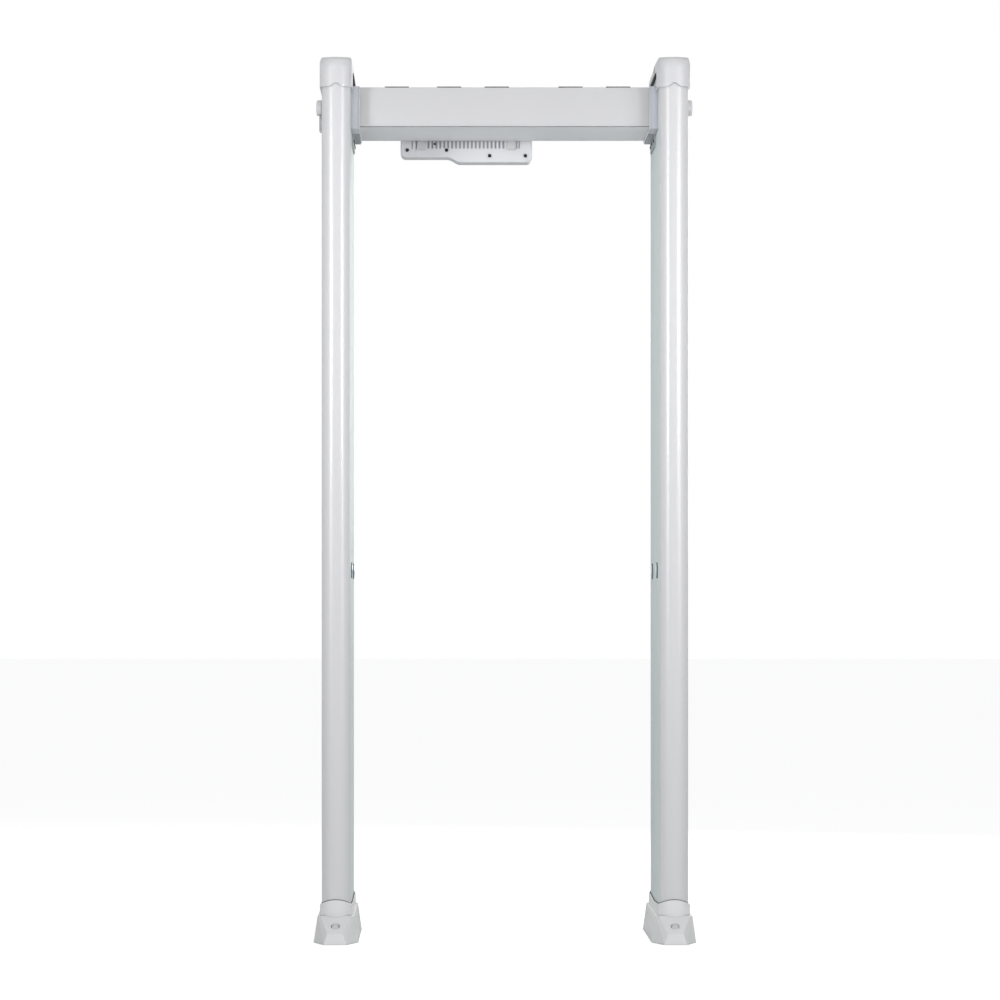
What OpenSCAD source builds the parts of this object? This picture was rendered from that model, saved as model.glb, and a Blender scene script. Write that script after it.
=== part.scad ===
/* [Passage] */
// Clear width between the two columns
passage_width = 760; // [620:10:920]
// Clear height from the floor to the crossbeam
passage_height = 2010; // [1750:10:2250]

/* [Columns] */
// Width of a column's flat side, in the direction of walking
flat_depth = 430; // [400:5:560]
// Thickness of a column across the passage
column_thickness = 70; // [64:1:90]
// How far the rounded edge stands out past the flat side
nose_depth = 25; // [20:1:30]
// Radius where the rounded edge meets the flat side
nose_corner_r = 14; // [10:1:16]
// Thickness of the flat skins
skin = 2; // [1.5:0.5:3]
// Wall of the rounded edge profiles
edge_wall = 2.5; // [2:0.5:3.5]
// Height of the beam sensors
sensor_height = 915; // [760:5:1120]

/* [Feet] */
// How far a foot's toe reaches out past the column's rounded edge
foot_reach = 63; // [54:1:90]
// How far a foot spreads out past each flat side of the column
foot_flare = 20; // [16:1:30]
// Height of a foot's ledge
foot_height = 67; // [54:1:74]
// Height of the collar at the rounded edges
collar_height = 106; // [96:1:124]
// Radius of the floor bolt holes
anchor_hole_r = 6; // [5:0.5:7]

/* [Caps] */
// Height of a cap's straight side
cap_height = 75; // [66:1:90]
// How far the cap's top swells at its middle
cap_crown = 8; // [4:1:12]
// How far a cap stands out past its column
cap_overhang = 5; // [3:0.5:8]

/* [Crossbeam] */
// Height of the crossbeam
beam_height = 98; // [88:1:118]
// Depth of the crossbeam, in the direction of walking
beam_depth = 302; // [270:2:360]
// Diameter of the hand knobs
knob_diameter = 39; // [32:1:44]

/* [Control unit] */
// Left end of the control unit
unit_left = -260; // [-300:1:-250]
// Right end of the control unit
unit_right = 75; // [70:1:120]
// Depth of the control unit
unit_depth = 70; // [60:1:90]
// How far the control unit hangs below the crossbeam
unit_drop = 54; // [40:1:66]

/* [Hidden] */
$fn = 96;
eps = 0.01;
half_pass = passage_width / 2;
column_x = half_pass + column_thickness / 2;
outer_x = half_pass + column_thickness;
half_flat = flat_depth / 2;
seam = 0.5;
column_base = 20;
beam_z = passage_height + 1;
beam_top = beam_z + beam_height;
cap_base = beam_top - 9;
cap_top = cap_base + cap_height;
cap_cut_z = cap_base + 47;
column_top = cap_base + 50;
core_half = column_thickness / 2 - skin;

// The rounded edge is one wide arc with a small arc each side, tangent to each other
corner_u = column_thickness / 2 - nose_corner_r;
nose_rise = nose_depth - nose_corner_r;
nose_centre = (corner_u * corner_u - nose_rise * nose_rise) / (2 * nose_rise);
nose_r = nose_depth + nose_centre;
tangent_ratio_u = corner_u / (nose_r - nose_corner_r);
tangent_ratio_v = nose_centre / (nose_r - nose_corner_r);

tongue = 22;
rail = 30;
rail_in = half_flat - tongue - rail;
knob_z = beam_z + beam_height / 2;
knob_y = beam_depth / 2 - 22;
knob_rim = 13;
knob_dome = 16.5;
stud_r = 5;
stud_gap = 0.05;
stud_hole_r = stud_r + 0.5;
bush_r = 9;
sensor_y = 112;
sensor_barrel_r = 13;
sensor_ring_r = 20;
sensor_seat_r = 17;
sensor_lens_r = sensor_seat_r - 0.1;
sensor_dome_r = 43;
rung_step = (knob_z - column_base) / 6;
rung_half = 15;
cross_rail = 40;
coil_width = 8;
coil_thickness = 12;
// The coil runs beside the rails, or inside the studs where these leave it no room there
coil_out = knob_y + stud_hole_r + 2 < rail_in - coil_width ? rail_in : knob_y - stud_hole_r - 2;

collar_gap = 0.8;
collar_wall = 3.4;
collar_dip = 12;
foot_length = flat_depth + 2 * (nose_depth + foot_reach);
foot_width = column_thickness + 2 * foot_flare;
foot_screw_r = 4;
foot_underside = 12;
anchor_y = foot_length / 2 - 30;
anchor_seat_r = 11;
anchor_seat_z = 22;
toe_half = 28;
toe_top_half = 19;
toe_front_z = 27;
shoulder_y = half_flat + 4;
ledge_half = foot_width / 2 - 10;
ledge_corner_y = half_flat + 13;

cap_side_in = 6;
cap_side_rise = 19;
cap_end_r = 28;
cap_roof = 3;
scallop_half = 17;
scallop_rise = 12;
lens_half = 60;
trim_height = 5;
trim_width = 7;

saddle_length = 22;
saddle_wall = 4.5;
saddle_lip = 3;
saddle_lip_proud = 1.2;
cleat_back = -35;
cleat_front = beam_depth / 2 + 9;
cleat_plate = 4;
cleat_shelf = 3.5;
cleat_drop = 33;
cleat_screw_r = 2.5;
cleat_head_r = 4.5;
beam_half = half_pass - 0.5;
beam_sheet = 2.5;
beam_lip = 1;
sheet_fold = 18;
end_plate = 4;
inlet_y = -knob_y;
inlet_z = knob_z - knob_diameter / 2 - 18.5;
inlet_r = 17.5;
inlet_proud = 6;
inlet_recess = 16;
inlet_bore_r = 11;
inlet_barrel_r = 13.5;
hinge_pin_r = 1.2;
hinge_half = 3.7;
lug_width = 3;
flap_axis_x = -(outer_x + 5);
flap_axis_z = inlet_z - inlet_r - 2.5;

unit_back = beam_depth / 2 + 7;
unit_split = unit_back + 26;
unit_front = unit_back + unit_depth;
unit_top = beam_top + 9;
unit_low = beam_z - unit_drop;
unit_high = unit_low + 13;
unit_wall = 3;
step_left = -141.5;
step_right = -107.6;
unit_corner_r = 13;
unit_screws_at = [[unit_left + 17, 31.5], [-143, 31.5], [-33, 17], [unit_right - 17, 17]];
unit_screw_r = 2.5;
unit_head_r = 4.5;
slot_first = -191.5;
slot_pitch = 10.05;
slot_width = 5;
narrow_slots = [unit_left + 28, unit_left + 38.5, unit_right - 40, unit_right - 34];
narrow_slot_width = 2.5;
bracket_sheet = 2;
bracket_legs = [-217, 12];
bracket_leg_width = 20;
key_xs = [-40, -14, 12, 38];
key_z = unit_low + 103;
key_r = 8;
lock_x = 12;
lock_r = 9.5;
lock_rim_r = 12;
barrel_r = 6;
lock_z = unit_low + 33;
display_x = -150;
display_z = unit_low + 98;
display_w = 130;
display_h = 55;
display_glass = 1.5;
display_edge = 3;
board_thickness = 1.6;
board_back = unit_front - 22;
board_base = unit_low + 44;
post_low = unit_low + 50;
post_high = unit_top - 19;
post_at = [
    [unit_left + 20, post_low], [unit_left + 20, post_high], [-58, post_high], [unit_right - 17, post_high]
];

white = "#e9eaec";
inner_white = "#d5dbda";
cap_white = "#e4e5e8";
cast_white = "#dcdfdf";
dark = "#2c2f31";
steel = "#9a9da1";

// Builds for the right-hand side, s = 1, or mirrored for the left, s = -1
module on_side(s) {
    if (s < 0) mirror([1, 0, 0]) children();
    else children();
}

// Stands a shape on the outer face of a side, with its own Z pointing outwards
module facing_out(x, y, z) {
    translate([x, y, z]) rotate([0, 90, 0]) children();
}

// Points a shape's own Z along +Y
module facing_front(x, y, z) {
    translate([x, y, z]) rotate([-90, 0, 0]) children();
}

function arc(cx, cy, r, a0, a1, steps = 8) =
    [for (i = [0:steps]) let (a = a0 + (a1 - a0) * i / steps) [cx + r * cos(a), cy + r * sin(a)]];

// ---- Columns ----

// The rounded edge's outline grown by g, standing on the line v = 0
module nose_outline(g = 0) {
    u = (nose_r + g) * tangent_ratio_u;
    v = (nose_r + g) * tangent_ratio_v - nose_centre;
    intersection() {
        translate([0, -nose_centre]) circle(r = nose_r + g);
        translate([-u, 0]) square([2 * u, nose_depth + g + 5]);
    }
    for (s = [-1, 1]) intersection() {
        translate([s * corner_u, 0]) circle(r = nose_corner_r + g);
        translate([s > 0 ? u : -u - nose_corner_r, 0]) square([nose_corner_r, v]);
    }
}

// The whole column's outline grown by g
module column_outline(g = 0) {
    square([column_thickness + 2 * g, flat_depth], center = true);
    for (s = [0, 1]) mirror([0, s]) translate([0, half_flat]) nose_outline(g);
}

module edge_profile() {
    difference() {
        union() {
            nose_outline();
            translate([-core_half, -tongue]) square([2 * core_half, tongue]);
        }
        nose_outline(-edge_wall);
        translate([-core_half + edge_wall, edge_wall - tongue])
            square([2 * (core_half - edge_wall), tongue - edge_wall]);
    }
}

module edge(s, front) {
    color(white) on_side(s) translate([column_x, 0, column_base])
        mirror([0, front ? 0 : 1, 0]) translate([0, half_flat, 0])
            linear_extrude(height = column_top - column_base) edge_profile();
}

module stud_holes(x, length) {
    for (y = [-knob_y, knob_y]) facing_out(x, y, knob_z) cylinder(r = stud_hole_r, h = length);
}

module skin_sheet(x) {
    translate([x, -half_flat + seam, column_base])
        cube([skin, flat_depth - 2 * seam, column_top - column_base]);
}

module skin_inner(s) {
    color(inner_white) on_side(s) difference() {
        skin_sheet(half_pass);
        stud_holes(half_pass - 1, skin + 2);
        for (y = [-sensor_y, sensor_y])
            facing_out(half_pass - 1, y, sensor_height) cylinder(r = sensor_barrel_r, h = skin + 2);
        for (y = cleat_screw_ys()) facing_out(half_pass - 1, y, cleat_screw_z())
            cylinder(r = cleat_screw_r, h = skin + 2);
    }
}

module skin_outer(s) {
    color(white) on_side(s) difference() {
        skin_sheet(outer_x - skin);
        stud_holes(outer_x - skin - 1, skin + 2);
        if (s < 0) facing_out(outer_x - skin - 1, inlet_y, inlet_z)
            cylinder(r = inlet_barrel_r, h = skin + 2);
    }
}

// The coil's loop with its two crossings, drawn with a clearance for the channel it lies in
module coil_shape(gap = 0) {
    x = coil_thickness + 2 * gap;
    low = column_base + cross_rail;
    high = column_top - cross_rail;
    crossing = column_base + rung_half;
    for (s = [-1, 1])
        translate([column_x - x / 2, s > 0 ? coil_out - coil_width - gap : -coil_out, low])
            cube([x, coil_width + gap, high - low]);
    for (z = [low, crossing + 2 * rung_step, crossing + 4 * rung_step, high - coil_width])
        translate([column_x - x / 2, -coil_out, z]) cube([x, 2 * coil_out, coil_width]);
}

module coil(s) {
    color("#b06a3c") on_side(s) coil_shape();
}

module core(s) {
    width = 2 * core_half;
    color("#c8a878") on_side(s) difference() {
        union() {
            for (y = [rail_in, -rail_in - rail]) translate([column_x - core_half, y, column_base])
                cube([width, rail, column_top - column_base]);
            for (z = [column_base, column_top - cross_rail])
                translate([column_x - core_half, -rail_in, z]) cube([width, 2 * rail_in, cross_rail]);
            for (i = [1:6])
                translate([column_x - core_half, -rail_in, column_base + i * rung_step - rung_half])
                    cube([width, 2 * rail_in, 2 * rung_half]);
        }
        coil_shape(0.3);
        stud_holes(half_pass, column_thickness);
        for (y = [-sensor_y, sensor_y])
            facing_out(half_pass, y, sensor_height) cylinder(r = sensor_barrel_r + 0.5, h = 31);
        if (s < 0) facing_out(outer_x - 15, inlet_y, inlet_z) cylinder(r = inlet_barrel_r + 0.3, h = 20);
        for (y = foot_screw_ys())
            translate([column_x, y, column_base - 1]) cylinder(r = foot_screw_r, h = 31);
    }
}

// ---- Feet ----

function foot_screw_ys() = [-80, 80];

// Takes away everything on the outer side of a plane, given a point on it and its normal
module shave(point, normal) {
    flat = norm([normal.x, normal.y]);
    translate(point) rotate([0, atan2(flat, normal.z), atan2(normal.y, normal.x)])
        translate([-500, -500, 0]) cube([1000, 1000, 300]);
}

module foot_plan() {
    half = foot_width / 2;
    end = foot_length / 2;
    polygon([
        [toe_half, -end], [half, -shoulder_y], [half, shoulder_y], [toe_half, end],
        [-toe_half, end], [-half, shoulder_y], [-half, -shoulder_y], [-toe_half, -end]
    ]);
}

// The toe's faces: the sloping top, the side and the corner between them
module shave_toe() {
    end = foot_length / 2;
    front = [toe_top_half, end - 4, toe_front_z];
    ledge = [ledge_half, ledge_corner_y, foot_height];
    tip = [toe_half, end, 0];
    shoulder = [foot_width / 2, shoulder_y, 0];
    back_y = half_flat + nose_depth + 3;
    shave(front, [0, foot_height - 2 - toe_front_z, front.y - back_y]);
    shave(tip, cross(shoulder - ledge, tip - ledge));
    shave(front, cross(front - tip, ledge - tip));
    shave(tip, [0, toe_front_z, 4]);
}

// The space above the collar's edge: it dips along the flats and arches over the rounded edges
module above_collar() {
    side_z = collar_height - collar_dip;
    half = column_thickness / 2 + collar_gap + collar_wall + 1;
    arch = [for (i = [0:10]) [half * (i / 5 - 1), collar_height - collar_dip * pow(i / 5 - 1, 2)]];
    rotate([90, 0, 90]) linear_extrude(height = 2 * half + 20, center = true) polygon([
        [-half_flat, side_z], [0, side_z - 7], [half_flat, side_z],
        [half_flat, side_z + 60], [-half_flat, side_z + 60]
    ]);
    for (y = [half_flat + 50, -half_flat]) translate([0, y, 0]) rotate([90, 0, 0])
        linear_extrude(height = 50) polygon(concat(arch, [[half, side_z + 60], [-half, side_z + 60]]));
}

module foot(s) {
    color(cast_white) on_side(s) translate([column_x, 0, 0]) difference() {
        union() {
            difference() {
                linear_extrude(height = foot_height) foot_plan();
                for (mx = [0, 1]) mirror([mx, 0, 0]) {
                    shave([foot_width / 2, 0, 0], [foot_height, 0, 10]);
                    for (my = [0, 1]) mirror([0, my, 0]) shave_toe();
                }
            }
            difference() {
                linear_extrude(height = collar_height + 20) column_outline(collar_gap + collar_wall);
                above_collar();
            }
        }
        translate([0, 0, column_base]) linear_extrude(height = collar_height + 20) column_outline(collar_gap);
        translate([-column_thickness / 2 + 5, -half_flat + 20, -1])
            cube([column_thickness - 10, flat_depth - 40, foot_underside + 1]);
        for (y = foot_screw_ys()) translate([0, y, 0]) cylinder(r = foot_screw_r + 0.2, h = 40);
        for (y = [-anchor_y, anchor_y]) translate([0, y, 0]) {
            translate([0, 0, -1]) cylinder(r = anchor_hole_r, h = 60);
            translate([0, 0, anchor_seat_z]) cylinder(r = anchor_seat_r, h = 60);
        }
    }
}

module foot_screws() {
    head = 6;
    low = foot_underside - head;
    color(steel) for (s = [-1, 1]) for (y = foot_screw_ys()) translate([s * column_x, y, low]) {
        cylinder(r = foot_screw_r + 2.5, h = head);
        cylinder(r = foot_screw_r, h = 44);
    }
}

// ---- Caps ----

// A cap seen along the passage, grown by g: straight sides that round in to the top
module cap_front_profile(g = 0) {
    half = column_thickness / 2 + cap_overhang + g;
    side = [for (i = [0:6])
        [half - cap_side_in * (1 - cos(i * 15)), cap_top - cap_side_rise * (1 - sin(i * 15))]];
    high = cap_top + cap_crown + 2 + g;
    right = concat([[half, cap_base - 2]], side, [[half - cap_side_in, high]]);
    polygon(concat(right, [for (i = [len(right) - 1:-1:0]) [-right[i].x, right[i].y]]));
}

// A cap seen across the passage: rounded ends and a top that swells towards the middle
module cap_side_profile() {
    end = half_flat + nose_depth + cap_overhang;
    r = cap_end_r;
    run = end - r;
    crown_r = (run * run + cap_crown * cap_crown) / (2 * cap_crown);
    crown_z = cap_top + cap_crown - crown_r;
    crown = [for (i = [0:16]) let (y = run * (1 - i / 8)) [y, crown_z + sqrt(crown_r * crown_r - y * y)]];
    polygon(concat([[end, cap_base]], arc(run, cap_top - r, r, 0, 80), crown,
        arc(-run, cap_top - r, r, 100, 180), [[-end, cap_base]]));
}

module cap_body() {
    intersection() {
        translate([0, 0, cap_base]) linear_extrude(height = cap_height + cap_crown + 1)
            column_outline(cap_overhang);
        translate([0, 400, 0]) rotate([90, 0, 0]) linear_extrude(height = 800) cap_front_profile();
        translate([-100, 0, 0]) rotate([90, 0, 90]) linear_extrude(height = 200) cap_side_profile();
    }
}

// The strip of the cap's inner top corner that the status lens fills
module lens_section(grown = false) {
    intersection() {
        difference() {
            cap_front_profile(grown ? 2.5 : 12);
            cap_front_profile(-3);
        }
        translate([-60, cap_top - 20]) square([36, 20 + cap_crown]);
    }
}

module cap(s) {
    scallop_r = (scallop_half * scallop_half + scallop_rise * scallop_rise) / (2 * scallop_rise);
    reach = beam_depth / 2 + 5;
    inset = column_thickness / 2 + 20;
    color(cap_white) on_side(s) translate([column_x, 0, 0]) difference() {
        cap_body();
        translate([0, 0, cap_base - 1]) linear_extrude(height = column_top - cap_base + 1)
            column_outline(collar_gap);
        translate([-column_thickness / 2 + 8, -half_flat + 10, column_top - 1])
            cube([column_thickness - 16, flat_depth - 20, cap_top - column_top - cap_roof]);
        translate([-inset, -reach, cap_base - 1]) cube([26, 2 * reach, cap_cut_z - cap_base + 1]);
        for (y = [half_flat, -half_flat - 40]) facing_front(0, y, cap_base + scallop_rise - scallop_r)
            cylinder(r = scallop_r, h = 40);
        if (s > 0) translate([0, lens_half + 0.3, 0]) rotate([90, 0, 0])
            linear_extrude(height = 2 * lens_half + 0.6) lens_section();
    }
}

module cap_trim(s) {
    half = beam_depth / 2 - 24;
    color(dark) on_side(s) translate([half_pass - trim_width, -half, cap_cut_z - trim_height])
        cube([trim_width, 2 * half, trim_height]);
}

module right_cap_lens() {
    color("#141517") translate([column_x, lens_half, 0]) rotate([90, 0, 0])
        linear_extrude(height = 2 * lens_half) lens_section(true);
}

// ---- Sensors ----

module at_sensors() {
    for (s = [-1, 1]) for (y = [-sensor_y, sensor_y])
        on_side(s) translate([half_pass, y, sensor_height]) rotate([0, -90, 0]) children();
}

module sensor_rings() {
    color("#3a4345") at_sensors() difference() {
        union() {
            cylinder(r = sensor_ring_r, h = 2.5);
            translate([0, 0, -30]) cylinder(r = sensor_barrel_r, h = 31);
        }
        translate([0, 0, 1]) cylinder(r = sensor_seat_r, h = 3);
        translate([0, 0, -28]) cylinder(r = sensor_barrel_r - 2, h = 40);
    }
}

module sensor_lenses() {
    color("#55666a") at_sensors() intersection() {
        translate([0, 0, 4.5 - sensor_dome_r]) sphere(r = sensor_dome_r);
        translate([0, 0, 1]) cylinder(r = sensor_lens_r, h = 6);
    }
}

// ---- Crossbeam and its fixings ----

module saddle(s) {
    wide = beam_depth + 2 * saddle_wall;
    tall = beam_height + saddle_wall + 2;
    rim = saddle_lip_proud;
    hole = beam_depth + 2 * beam_lip + 0.6;
    color(cap_white) on_side(s) translate([half_pass - saddle_length, 0, 0]) difference() {
        union() {
            translate([0, -wide / 2, beam_z - saddle_wall]) cube([saddle_length, wide, tall]);
            translate([0, -wide / 2 - rim, beam_z - saddle_wall - rim])
                cube([saddle_lip, wide + 2 * rim, tall + rim]);
        }
        translate([-1, -hole / 2, beam_z - 0.3]) cube([saddle_length + 2, hole, beam_height + 0.6]);
    }
}

function cleat_screw_ys() = [cleat_back + 25, (cleat_back + cleat_front - 1) / 2, cleat_front - 26];
function cleat_screw_z() = beam_z - 19;

module cleat(s) {
    plate_top = beam_z - saddle_wall;
    run = cleat_front - cleat_back;
    shelf = saddle_length - saddle_lip;
    color("#c9cbcc") on_side(s) difference() {
        union() {
            translate([half_pass - cleat_plate, cleat_back, beam_z - cleat_drop])
                cube([cleat_plate, run, plate_top - beam_z + cleat_drop]);
            translate([half_pass - shelf, cleat_back, plate_top - cleat_shelf]) cube([shelf, run, cleat_shelf]);
        }
        for (y = cleat_screw_ys()) facing_out(half_pass - cleat_plate - 1, y, cleat_screw_z())
            cylinder(r = cleat_screw_r, h = cleat_plate + 2);
    }
}

module cleat_screws() {
    color("#5b5e60") for (s = [-1, 1]) for (y = cleat_screw_ys())
        on_side(s) facing_out(half_pass - cleat_plate - 2.5, y, cleat_screw_z()) {
            cylinder(r = cleat_head_r, h = 2.5);
            cylinder(r = cleat_screw_r, h = cleat_plate + 2.5 + skin);
        }
}

module knob(s, y) {
    r = knob_diameter / 2;
    crest = r - 1.5;
    neck = r - 2.5;
    dome = [for (i = [0:4]) let (u = crest * (1 - i / 4)) [u, knob_dome - 2 * pow(u / crest, 2)]];
    color(white) on_side(s) facing_out(outer_x, y, knob_z) difference() {
        rotate_extrude() polygon(concat([[0, 0], [neck, 0], [neck, 2], [r, 3], [r, knob_rim]], dome));
        translate([0, 0, -1]) cylinder(r = stud_r, h = 13);
    }
}

module stud(s, y) {
    color(steel) on_side(s) facing_out(half_pass - 20, y, knob_z)
        cylinder(r = stud_r, h = column_thickness + 32);
}

module beam_bushes() {
    color("#b8a25a") for (s = [-1, 1]) for (y = [-knob_y, knob_y])
        on_side(s) facing_out(half_pass - 22, y, knob_z) difference() {
            cylinder(r = bush_r, h = 18);
            translate([0, 0, -1]) cylinder(r = stud_r + stud_gap, h = 20);
        }
}

module beam_cover(front) {
    color(white) mirror([0, front ? 1 : 0, 0]) {
        translate([-beam_half, -beam_depth / 2, beam_z]) cube([2 * beam_half, beam_sheet, beam_height]);
        translate([-beam_half, -beam_depth / 2 - beam_lip, beam_z]) cube([2 * beam_half, beam_lip + eps, 3]);
    }
}

// A sheet with its long edges folded, lying at height z and folded towards fold
module folded_sheet(z, fold) {
    inside = beam_depth / 2 - beam_sheet;
    translate([-beam_half, -inside, z]) cube([2 * beam_half, 2 * inside, beam_sheet]);
    fold_z = fold > 0 ? z : z + beam_sheet - sheet_fold;
    for (m = [-1, 1]) translate([-beam_half, m > 0 ? inside - 2 : -inside, fold_z])
        cube([2 * beam_half, 2, sheet_fold]);
}

module beam_tray() {
    color(cap_white) folded_sheet(beam_z, 1);
}

module beam_lid() {
    color(white) folded_sheet(beam_top - beam_sheet, -1);
}

module lid_clips() {
    color("#6b6e70") for (part = [-0.70, -0.36, -0.05, 0.43, 0.74])
        translate([part * half_pass - 30, -beam_depth / 2, beam_top]) cube([60, 26, 2]);
}

module beam_end_plates() {
    wide = beam_depth - 2 * beam_sheet - 4;
    color(steel) for (s = [-1, 1]) on_side(s) difference() {
        translate([half_pass - 8, -wide / 2, beam_z + beam_sheet])
            cube([end_plate, wide, beam_height - 2 * beam_sheet]);
        for (y = [-knob_y, knob_y]) facing_out(half_pass - 9, y, knob_z)
            cylinder(r = bush_r, h = end_plate + 2);
    }
}

// ---- Control unit ----

// The unit seen from behind, shrunk by g: rounded corners and a stepped lower edge
module unit_outline(g = 0) {
    r = unit_corner_r;
    q = r - g;
    step_mid = (unit_low + unit_high) / 2;
    bend = [for (i = [0:8]) let (t = i / 8)
        [step_left + (step_right - step_left) * t, step_mid + (step_mid - unit_low) * cos(180 * t) + g]];
    polygon(concat(
        arc(unit_right - r, unit_low + r, q, -90, 0), arc(unit_right - r, unit_top - r, q, 0, 90),
        arc(unit_left + r, unit_top - r, q, 90, 180), arc(unit_left + r, unit_high + r, q, 180, 270),
        bend));
}

// A solid of that outline from y0 to y1
module unit_block(y0, y1, g = 0) {
    translate([0, y1, 0]) rotate([90, 0, 0]) linear_extrude(height = y1 - y0) unit_outline(g);
}

module unit_slots() {
    foot_of_slots = unit_low + 35;
    run = unit_top - 28 - foot_of_slots;
    for (i = [0:19]) translate([slot_first + i * slot_pitch, unit_back - 1, foot_of_slots])
        cube([slot_width, unit_wall + 2, run]);
    for (x = narrow_slots) translate([x, unit_back - 1, foot_of_slots])
        cube([narrow_slot_width, unit_wall + 2, run]);
}

module unit_rear() {
    color(white) difference() {
        union() {
            difference() {
                unit_block(unit_back, unit_split);
                unit_block(unit_back + unit_wall, unit_split + 1, unit_wall);
                unit_slots();
            }
            for (p = unit_screws_at) facing_front(p.x, unit_back - 1, unit_low + p.y)
                cylinder(r = 7, h = unit_split - unit_back + 1);
        }
        for (p = unit_screws_at) facing_front(p.x, unit_back - 2, unit_low + p.y) {
            cylinder(r = unit_head_r + 0.2, h = 3.5);
            cylinder(r = unit_screw_r, h = 60);
        }
        facing_front(-173, unit_back - 1, unit_low + 47) cylinder(r = 3, h = 8);
    }
}

module unit_screws() {
    color(dark) for (p = unit_screws_at) facing_front(p.x, unit_back - 0.8, unit_low + p.y) {
        cylinder(r = unit_head_r, h = 2.3);
        cylinder(r = unit_screw_r, h = 36);
    }
}

module unit_face() {
    color(cap_white) difference() {
        union() {
            difference() {
                unit_block(unit_split, unit_front);
                unit_block(unit_split - 1, unit_front - unit_wall, unit_wall);
            }
            for (p = unit_screws_at) facing_front(p.x, unit_split, unit_low + p.y)
                cylinder(r = 6, h = unit_front - unit_split - 1);
            for (p = post_at) facing_front(p.x, board_back + board_thickness, p.y)
                cylinder(r = 4, h = unit_front - board_back - board_thickness - 1);
        }
        for (p = unit_screws_at) facing_front(p.x, unit_split - 1, unit_low + p.y)
            cylinder(r = unit_screw_r, h = 12);
        for (x = key_xs) facing_front(x, unit_front - 4, key_z) cylinder(r = key_r + 0.3, h = 6);
        facing_front(lock_x, unit_front - 4, lock_z) cylinder(r = lock_r, h = 6);
        display_opening(0, display_glass);
        display_opening(display_edge, 4);
    }
}

// The display's opening, drawn in by g and sunk deep into the face
module display_opening(g, deep) {
    translate([display_x - display_w / 2 + g, unit_front - deep, display_z - display_h / 2 + g])
        cube([display_w - 2 * g, deep + 2, display_h - 2 * g]);
}

module unit_bracket() {
    face = beam_depth / 2 + bracket_sheet;
    color("#bfc2c4") {
        translate([unit_left + 20, beam_depth / 2, beam_z + 7])
            cube([unit_right - unit_left - 40, bracket_sheet, beam_height - 12]);
        for (x = bracket_legs) translate([x, face - eps, unit_low + 33])
            cube([bracket_leg_width, unit_back - face + eps, unit_top - unit_low - 43]);
    }
}

module unit_board() {
    left = unit_left + 12;
    color("#2f6b46") translate([left, board_back, board_base])
        cube([unit_right - 11 - left, board_thickness, unit_top - board_base - 10]);
}

module display_window() {
    color("#16181b")
        translate([display_x - display_w / 2, unit_front - display_glass, display_z - display_h / 2])
            cube([display_w, display_glass, display_h]);
}

module display_panel() {
    panel_w = display_w - 10;
    panel_h = display_h - 10;
    color("#3b4a3f") translate([display_x - panel_w / 2, unit_front - 7, display_z - panel_h / 2])
        cube([panel_w, 7 - display_glass, panel_h]);
}

module key(i) {
    color("#50565c") facing_front(key_xs[i], unit_front - 18, key_z) {
        cylinder(r = 3, h = 12.5);
        translate([0, 0, 12.2]) cylinder(r = key_r + 1.5, h = 2.5);
        translate([0, 0, 14]) cylinder(r = key_r, h = 7);
    }
}

module lock_body() {
    color(steel) facing_front(lock_x, unit_front - 20, lock_z) difference() {
        union() {
            cylinder(r = lock_r, h = 20);
            translate([0, 0, 20]) cylinder(r = lock_rim_r, h = 2);
        }
        translate([0, 0, 2]) cylinder(r = barrel_r + stud_gap, h = 30);
    }
}

module lock_barrel() {
    color("#c9ccd0") facing_front(lock_x, unit_front - 18, lock_z) difference() {
        cylinder(r = barrel_r, h = 20.5);
        translate([-0.7, -3.5, 14]) cube([1.4, 7, 8]);
    }
}

module power_supply() {
    color("#8d9194") translate([-100, unit_back + unit_wall, unit_low + 62]) cube([90, 20, 55]);
}

// ---- Power inlet on the left column ----

module at_inlet() {
    translate([-outer_x, inlet_y, inlet_z]) rotate([0, -90, 0]) children();
}

module inlet_socket() {
    color(cap_white) difference() {
        union() {
            at_inlet() {
                cylinder(r = inlet_r, h = inlet_proud);
                translate([0, 0, -14]) cylinder(r = inlet_barrel_r, h = 15);
            }
            for (y = [inlet_y - hinge_half - 0.3 - lug_width, inlet_y + hinge_half + 0.3]) {
                facing_front(flap_axis_x, y, flap_axis_z) cylinder(r = 2.6, h = lug_width);
                translate([flap_axis_x, y, flap_axis_z - 2.6]) cube([5, lug_width, 6.6]);
            }
        }
        at_inlet() translate([0, 0, inlet_proud - inlet_recess]) cylinder(r = inlet_bore_r, h = 30);
        facing_front(flap_axis_x, inlet_y - 10, flap_axis_z) cylinder(r = hinge_pin_r, h = 20);
    }
}

module inlet_contacts() {
    color("#b8a25a") at_inlet() for (a = [90, 210, 330])
        rotate([0, 0, a]) translate([5, 0, inlet_proud - inlet_recess]) cylinder(r = 1.2, h = 7);
}

module inlet_flap() {
    color(white) difference() {
        union() {
            at_inlet() translate([0, 0, inlet_proud + 0.3]) cylinder(r = inlet_r - 0.5, h = 2);
            facing_front(flap_axis_x, inlet_y - hinge_half, flap_axis_z)
                cylinder(r = 2.4, h = 2 * hinge_half);
            translate([-outer_x - inlet_proud - 2.3, inlet_y - hinge_half, flap_axis_z])
                cube([2, 2 * hinge_half, 6]);
            translate([-outer_x - inlet_proud - 2.3, inlet_y - hinge_half, flap_axis_z - 0.6])
                cube([2.6, 2 * hinge_half, 1.6]);
        }
        facing_front(flap_axis_x, inlet_y - 10, flap_axis_z) cylinder(r = hinge_pin_r + stud_gap, h = 20);
    }
}

module inlet_hinge_pin() {
    color(steel) facing_front(flap_axis_x, inlet_y - 7, flap_axis_z) cylinder(r = hinge_pin_r, h = 14);
}

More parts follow.
